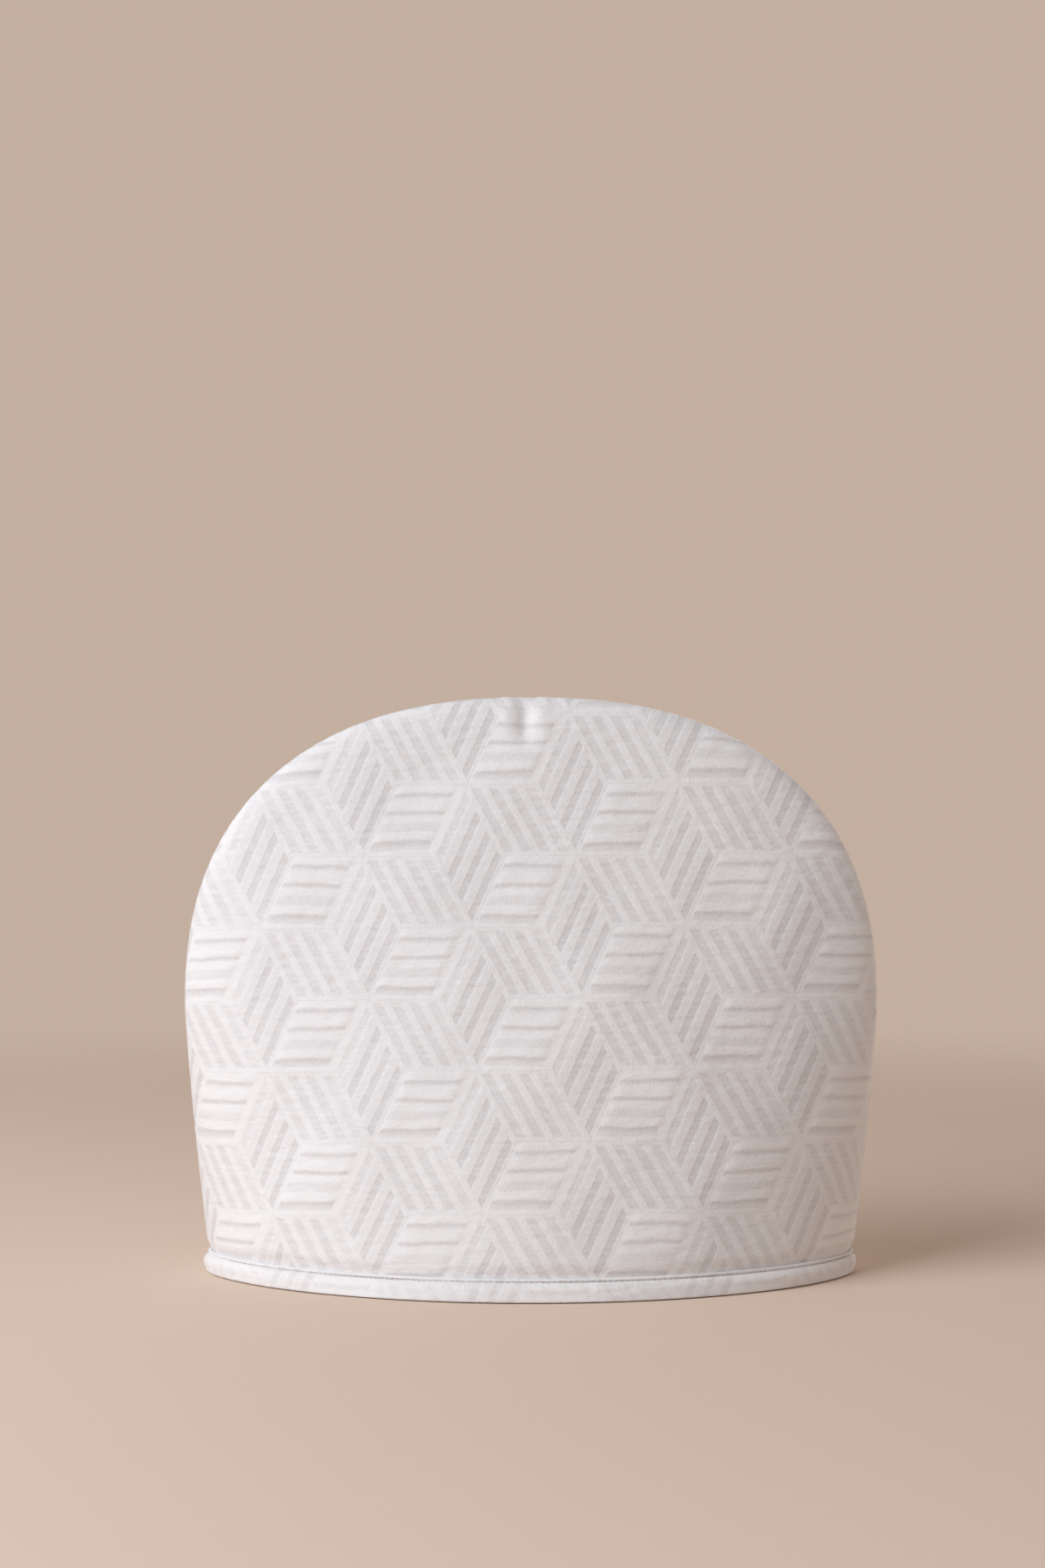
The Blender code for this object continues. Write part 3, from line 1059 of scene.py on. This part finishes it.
# %% Jacquard
def jacquard(name, light, dark, blush, contrast, puffed):
    """White-on-white jacquard. contrast scales the satin's tone, and puffed its relief."""
    material, shader, across, up = new_material(name)
    tree = across.tree
    block = tumbling_blocks(across, up)
    tread = block["tread"]
    upright = 1.0 - tread
    over = pulled(block, across, up)
    fray = grain(across, up, *FRAY_SIZE, detail=1.0) * BAR_FRAY
    in_bar = ramp(block["bar"] + fray, -BAR_EDGE, BAR_EDGE)
    in_tread = ramp(block["reach"] + fray, -BAR_EDGE, BAR_EDGE) * tread
    last = ramp(block["over"], *LAST_BAR)
    between = ramp(0.0 - block["stripe"], *EDGE_HIGHLIGHT_RAMP)

    bands = grain(across, up, *BAND_SIZE, detail=1.0)
    mottle = grain(across, up, *MOTTLE_SIZE)
    threads = grain(across, up, *THREAD_SIZE)
    crepe = grain(across, up, *CREPE_SIZE)
    ticks = grain(across, up, *TICK_SIZE)
    crinkle = grain(across, up, *CRINKLE_SIZE, detail=3.0)

    riser_tone = in_bar * (RISER_TONE - last * (RISER_TONE * LAST_RISER_LOSS))
    # Painted highlight along the riser's bar edges: the ground is darker away from them
    riser_tone = riser_tone + between * RISER_EDGE_HIGHLIGHT_TONE
    flank_tone = in_bar * (FLANK_TONE - last * (FLANK_TONE * LAST_FLANK_LOSS))
    # Satin tone of the tread's bars plus painted shade, darkest under each puff's steep lower edge
    tread_tone_and_shade = along_curve(over, TREAD_TONES_AND_SHADE) * in_tread
    tone = (tread_tone_and_shade + block["riser"] * riser_tone + block["flank"] * flank_tone) * contrast
    in_satin = in_bar * upright
    shades = ((bands, BAND_TONES), (mottle, MOTTLE_TONES), (crepe, CREPE_TONES))
    for field, (on_ground, satin_adds) in shades:
        tone = tone + field * (in_satin * satin_adds + on_ground)
    # Painted light on the treads: their tone is lowered here, so they are lighter
    tone = tone + threads * THREAD_TONE + (ticks * TICK_TONE - TREAD_PAINTED_LIGHT) * tread + BASE_TONE
    blushing = ramp(grain(across, up, *BLUSH_SIZE), *BLUSH_RAMP)
    paint(shader, tone, light, mixed(blushing, dark, blush))
    roughness = MATT_ROUGHNESS + in_satin * (SATIN_ROUGHNESS - MATT_ROUGHNESS)
    tree.links.new(roughness.socket, shader.inputs["Roughness"])

    ridges = (1.0 - ramp(block["bar"], -RIDGE_EDGE, RIDGE_EDGE)) * upright * RIDGE_BUMP
    rims = (along_curve(over, TREAD_CREASES) - 0.5) * in_tread * CREASE_BUMP
    height = (ridges + rims) * puffed + crinkle * CRINKLE_BUMP
    height = height + threads * GRAIN_BUMP + (1.0 - in_satin) * crepe * CREPE_BUMP
    height = height + ticks * tread * TICK_BUMP
    emboss(shader, height)
    soft_finish(shader, COTTON_SHEEN)
    print(name, "has", len(tree.nodes), "nodes")
    return material


# %% [markdown]
# Inside, a cosy usually has plain cotton. The jacquard could go on there too, but it costs a maker more
# and is hardly seen. A plain weave needs no rule: one grain that is long across for the weft, one that
# is long up for the warp, and a soft crumple.

# %% Lining
LINING_WHITE = (0.78, 0.765, 0.75)
LINING_SHADE = (0.60, 0.58, 0.56)
LINING_ROUGHNESS = 0.9
LINING_SHEEN = 0.15
WEFT_SIZE = (0.0012, 0.0005)
WARP_SIZE = (0.0005, 0.0012)
CRUMPLE_SIZE = (0.018, 0.024)
LINING_THREAD_TONE = 0.25
CRUMPLE_TONE = 0.5
LINING_TONE = 0.15
LINING_BUMP = 0.05 * MM
CRUMPLE_BUMP = 0.8 * MM


def plain_lining():
    """Plain cotton on the inside, slightly crumpled."""
    material, shader, across, up = new_material("plain_lining")
    threads = grain(across, up, *WEFT_SIZE) + grain(across, up, *WARP_SIZE)
    crumple = grain(across, up, *CRUMPLE_SIZE)
    tone = threads * LINING_THREAD_TONE + crumple * CRUMPLE_TONE + LINING_TONE
    paint(shader, tone, LINING_WHITE, LINING_SHADE)
    emboss(shader, threads * LINING_BUMP + crumple * CRUMPLE_BUMP)
    shader.inputs["Roughness"].default_value = LINING_ROUGHNESS
    soft_finish(shader, LINING_SHEEN)
    print("plain_lining has", len(across.tree.nodes), "nodes")
    return material


# %% [markdown]
# ## Sewing on the panels
#
# Each finished mesh takes the place of a plain solid and rides on the same body of the frame. The back
# panel comes from another place in the same length of cloth, so its pattern is shifted.

# %% Sew on the two panels
BACK_CLOTH_SHIFT = (0.031, 0.019)
FRONT_SEED = 11
BACK_SEED = 23


def dress(name, mesh, materials, node):
    """Put a finished piece in place of a plain solid."""
    piece = bpy.data.objects.new(name, mesh)
    bpy.context.scene.collection.objects.link(piece)
    for material in materials:
        mesh.materials.append(material)
    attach(piece, "root")
    if node:
        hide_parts(node)
    return piece


weave = jacquard("jacquard_cloth", *CLOTH_COLOURS, contrast=1.0, puffed=1.0)
lining = plain_lining()
front_mesh = panel_mesh("front_jacquard", True, (0.0, 0.0), FRONT_SEED)
back_mesh = panel_mesh("back_jacquard", False, BACK_CLOTH_SHIFT, BACK_SEED)
front_jacquard = dress("front_jacquard", front_mesh, (weave, lining), "front_panel")
back_jacquard = dress("back_jacquard", back_mesh, (weave, lining), "back_panel")
print("faces of the panels:", len(front_mesh.polygons), "and", len(back_mesh.polygons))

# %% [markdown]
# ## The bound hem
#
# The hem is bound with a strip of the same cloth, folded round the raw edge. Its upper fold is a thin
# lip against the panel. A row of top stitches runs just under the lip and pulls the cloth into a narrow
# groove, deepest along each stitch. Below it the strip swells into a soft roll over the panel's edge,
# most at the left end, where the cloth turns sharply. The strip was cut from another place in the
# cloth, so its pattern doesn't line up with the panel's.
#
# A bevelled curve would give a round tube. Lofting a drawn section round the hem keeps the lip, the
# groove and the foot. The cosy stands on the foot's inner part, and a hairline gap under its outer part
# draws the dark line along the floor.

# %% Section of the binding
# Corners of the closed section, in mm: how far out of the gripped wall, and how far up
BINDING_SECTION = (
    (0.10, 9.95),
    (0.50, 10.36),
    (0.95, 10.44),
    (1.32, 10.22),
    (1.44, 9.84),
    (1.40, 9.44),
    (1.30, 9.22),
    (0.86, 9.08),
    (0.78, 8.84),
    (0.90, 8.64),
    (1.34, 8.50),
    (1.90, 8.16),
    (2.70, 7.35),
    (3.25, 6.20),
    (3.45, 5.00),
    (3.47, 3.00),
    (3.48, 1.60),
    (3.35, 0.85),
    (2.90, 0.46),
    (1.20, 0.40),
    (-0.60, 0.34),
    (-1.60, 0.04),
    (-2.40, 0.00),
    (-4.70, 0.00),
    (-5.70, 0.50),
    (-6.30, 1.60),
    (-6.60, 4.60),
    (-6.20, 8.60),
    (-5.50, 9.20),
    (-4.70, 8.80),
    (-4.70, 5.00),
    (-4.70, 2.20),
    (-2.00, 2.20),
    (0.30, 2.20),
    (0.20, 6.00),
)
STITCH_COUNT = 290
BINDING_STEPS = 4 * STITCH_COUNT
STITCH_Z = 0.00886
FRONT_MIDDLE = 0.75
ROLL_MIDDLE = 0.0055
ROLL_REACH = 0.0045
OUTER_FADE = (0.0, 0.001)
PUFF_UNEVEN = 0.0003
PUFF_WAVES = ((7, 0.6), (11, 2.3))
LEFT_END_PUFF = 0.0016
LEFT_END_REACH = 0.28
WRINKLE_HEIGHT = 0.16 * MM
WRINKLE_PITCH = 0.0085
WRINKLE_SLANT = 0.6
WRINKLE_PATCHES = ((9, 1.0), (4, 0.0))
STITCH_DENT = 0.26 * MM
STITCH_DENT_REACH = 0.0006


def cut_corners(points):
    """Soften a closed outline by cutting each corner off at a quarter of both its sides."""
    softened = []
    for index, point in enumerate(points):
        after = points[(index + 1) % len(points)]
        softened.append((0.75 * point[0] + 0.25 * after[0], 0.75 * point[1] + 0.25 * after[1]))
        softened.append((0.25 * point[0] + 0.75 * after[0], 0.25 * point[1] + 0.75 * after[1]))
    return softened


print("section of the strip:", len(BINDING_SECTION), "corners")


# %% Places round the hem
def hem_angles(count):
    """Angles that divide the hem into steps of equal length, and the hem's length."""
    angles = np.linspace(0.0, 2.0 * np.pi, 8 * count + 1)
    x = np.cos(angles) * side_half_width(ROLL_MIDDLE)
    y = np.sign(np.sin(angles)) * half_depth(x, np.full_like(x, ROLL_MIDDLE))
    lengths = np.hypot(np.diff(x), np.diff(y))
    travelled = np.concatenate(([0.0], np.cumsum(lengths)))
    places = np.linspace(0.0, travelled[-1], count + 1)[:-1]
    return np.interp(places, travelled, angles), places, travelled[-1]


def hem_point(angle, out, z):
    """Point at a distance out of the gripped wall, on a level, at an angle round the hem."""
    x = np.cos(angle) * side_half_width(z)
    y = np.sign(np.sin(angle) + 1e-12) * half_depth(x, z)
    out_x, out_y = outward(x, np.where(np.abs(y) < 1e-9, 1e-9, y), z)
    reach = out - TUCK_DEPTH
    return np.stack((x + reach * out_x, y + reach * out_y, z + 0.0 * x), axis=-1)


print("girth of the hem", round(float(hem_angles(BINDING_STEPS)[2]), 4), "m")


# %% The strip as a ring
def binding_mesh(name):
    """The folded strip as one closed ring. Its ends meet at one side, so the pattern breaks there."""
    section = np.array(cut_corners(BINDING_SECTION)) * MM
    angles, places, length = hem_angles(BINDING_STEPS)
    out = section[:, 0][None, :]
    z = section[:, 1][None, :]
    angle = angles[:, None]
    place = places[:, None]
    outer = smooth(out, *OUTER_FADE)
    on_roll = bell(z - ROLL_MIDDLE, ROLL_REACH) * outer
    puff = 0.0
    for count, phase in PUFF_WAVES:
        puff = puff + PUFF_UNEVEN * np.sin(count * angle + phase)
    puff = puff + LEFT_END_PUFF * bell(angle - np.pi, LEFT_END_REACH)
    slant = (place + WRINKLE_SLANT * z) / length
    wrinkle = WRINKLE_HEIGHT * np.sin(2.0 * np.pi * slant * round(length / WRINKLE_PITCH))
    patches = 1.0
    for count, phase in WRINKLE_PATCHES:
        patches = patches * np.sin(count * angle + phase)
    wrinkle = wrinkle * (0.5 + 0.5 * patches)
    stitch_turn = 2.0 * np.pi * place * STITCH_COUNT / length
    dent = STITCH_DENT * (0.5 - 0.5 * np.cos(stitch_turn)) * bell(z - STITCH_Z, STITCH_DENT_REACH) * outer
    reach = out + (puff + wrinkle) * on_roll - dent
    points = hem_point(angle, reach, z)

    strip = np.concatenate(([0.0], np.cumsum(np.hypot(*np.diff(section, axis=0).T))))
    across = np.broadcast_to(place - FRONT_MIDDLE * length, points.shape[:2]) + BINDING_CLOTH_SHIFT[0]
    up = np.broadcast_to(-strip[None, :], points.shape[:2]) + BINDING_CLOTH_SHIFT[1]
    corners = len(section)
    here = np.arange(BINDING_STEPS)[:, None] * corners + np.arange(corners)[None, :]
    ahead = np.roll(here, -1, axis=0)
    quads = np.stack((here, np.roll(here, -1, axis=1), np.roll(ahead, -1, axis=1), ahead), axis=-1)
    cloth_places = np.stack((across, up), axis=-1).reshape(-1, 2)
    mesh = mesh_from_points(name, points.reshape(-1, 3), quads.reshape(-1, 4).tolist(), cloth_places)
    join = mesh.uv_layers["cloth"].data[4 * corners * (BINDING_STEPS - 1):]
    for corner in join:
        if corner.uv[0] < 0.0:
            corner.uv[0] += length
    return mesh, length


# %% [markdown]
# Folded so tightly, the strip shows its pattern only faintly. Its cloth is the same jacquard with about
# half the contrast and half the relief.

# %% Fold on the binding
BINDING_CLOTH_SHIFT = (-0.0072, 0.038)
BINDING_COLOURS = ((0.86, 0.853, 0.857), (0.56, 0.54, 0.54), (0.58, 0.54, 0.53))

strip_mesh, hem_length = binding_mesh("bound_hem")
strip_cloth = jacquard("binding_cloth", *BINDING_COLOURS, contrast=0.5, puffed=0.6)
bound_hem = dress("bound_hem", strip_mesh, (strip_cloth,), "hem_binding")
print("hem length", round(hem_length, 4), "m, faces", len(strip_mesh.polygons))

# %% [markdown]
# ## The top stitches
#
# The thread shows as short dashes in the groove. A curve along the whole hem would look like piping, so
# each dash is a small spindle whose ends dive into the cloth. One mesh holds them all.

# %% Stitches
STITCH_OUT = 0.00086
STITCH_LENGTH = 0.82
THREAD_RADIUS = 0.17 * MM
STITCH_RINGS = 6
STITCH_SIDES = 6
STITCH_TAPER = 0.85
STITCH_DIVE = 0.30 * MM
PLACES_PER_STITCH = 12
THREAD_MAP_WIDTH = 0.002
# The white thread is painted a warm grey: painted shade of the groove it lies in
THREAD_LIGHT_IN_PAINTED_SHADE = (0.70, 0.665, 0.645)
THREAD_DARK_IN_PAINTED_SHADE = (0.50, 0.465, 0.445)
THREAD_ROUGHNESS = 0.6
THREAD_SHEEN = 0.1
TWIST_SIZE = (0.0003, 0.001)
TWIST_TONE = 0.8
THREAD_TONE_LEVEL = 0.25
TWIST_BUMP = 0.05 * MM


def stitch_mesh(name, length):
    """All the dashes of the top stitching."""
    angles, places, _ = hem_angles(STITCH_COUNT * PLACES_PER_STITCH)
    pitch = length / STITCH_COUNT
    points = []
    cloth_places = []
    faces = []
    for stitch in range(STITCH_COUNT):
        first = len(points)
        for ring in range(STITCH_RINGS):
            share = ring / (STITCH_RINGS - 1) * 2.0 - 1.0
            place = (stitch + 0.5 + 0.5 * share * STITCH_LENGTH) * pitch
            angle = float(np.interp(place, places, angles))
            thick = THREAD_RADIUS * math.sqrt(1.0 - STITCH_TAPER * share ** 4)
            dive = STITCH_DIVE * share ** 4
            for side in range(STITCH_SIDES):
                turn = 2.0 * math.pi * side / STITCH_SIDES
                out = STITCH_OUT - dive + thick * math.cos(turn)
                z = STITCH_Z + thick * math.sin(turn)
                points.append(hem_point(np.array(angle), np.array(out), np.array(z)))
                cloth_places.append((place, THREAD_MAP_WIDTH * side / STITCH_SIDES))
        for ring in range(STITCH_RINGS - 1):
            for side in range(STITCH_SIDES):
                here = first + ring * STITCH_SIDES
                after = (side + 1) % STITCH_SIDES
                ahead = here + STITCH_SIDES
                faces.append((here + side, ahead + side, ahead + after, here + after))
        last = first + (STITCH_RINGS - 1) * STITCH_SIDES
        faces.append(tuple(range(first, first + STITCH_SIDES)))
        faces.append(tuple(reversed(range(last, last + STITCH_SIDES))))
    return mesh_from_points(name, np.array(points), faces, np.array(cloth_places))


def thread_material():
    """White sewing thread with its twist, painted a warm grey for the shade of the groove it lies in."""
    material, shader, across, up = new_material("white_thread_in_painted_shade")
    twist = grain(across + up, up, *TWIST_SIZE)
    paint(shader, twist * TWIST_TONE + THREAD_TONE_LEVEL, THREAD_LIGHT_IN_PAINTED_SHADE, THREAD_DARK_IN_PAINTED_SHADE)
    emboss(shader, twist * TWIST_BUMP)
    shader.inputs["Roughness"].default_value = THREAD_ROUGHNESS
    soft_finish(shader, THREAD_SHEEN)
    return material


thread = stitch_mesh("top_stitches", hem_length)
top_stitches = dress("top_stitches", thread, (thread_material(),), None)
print("stitches:", STITCH_COUNT, "pitch", round(hem_length / STITCH_COUNT / MM, 2), "mm")
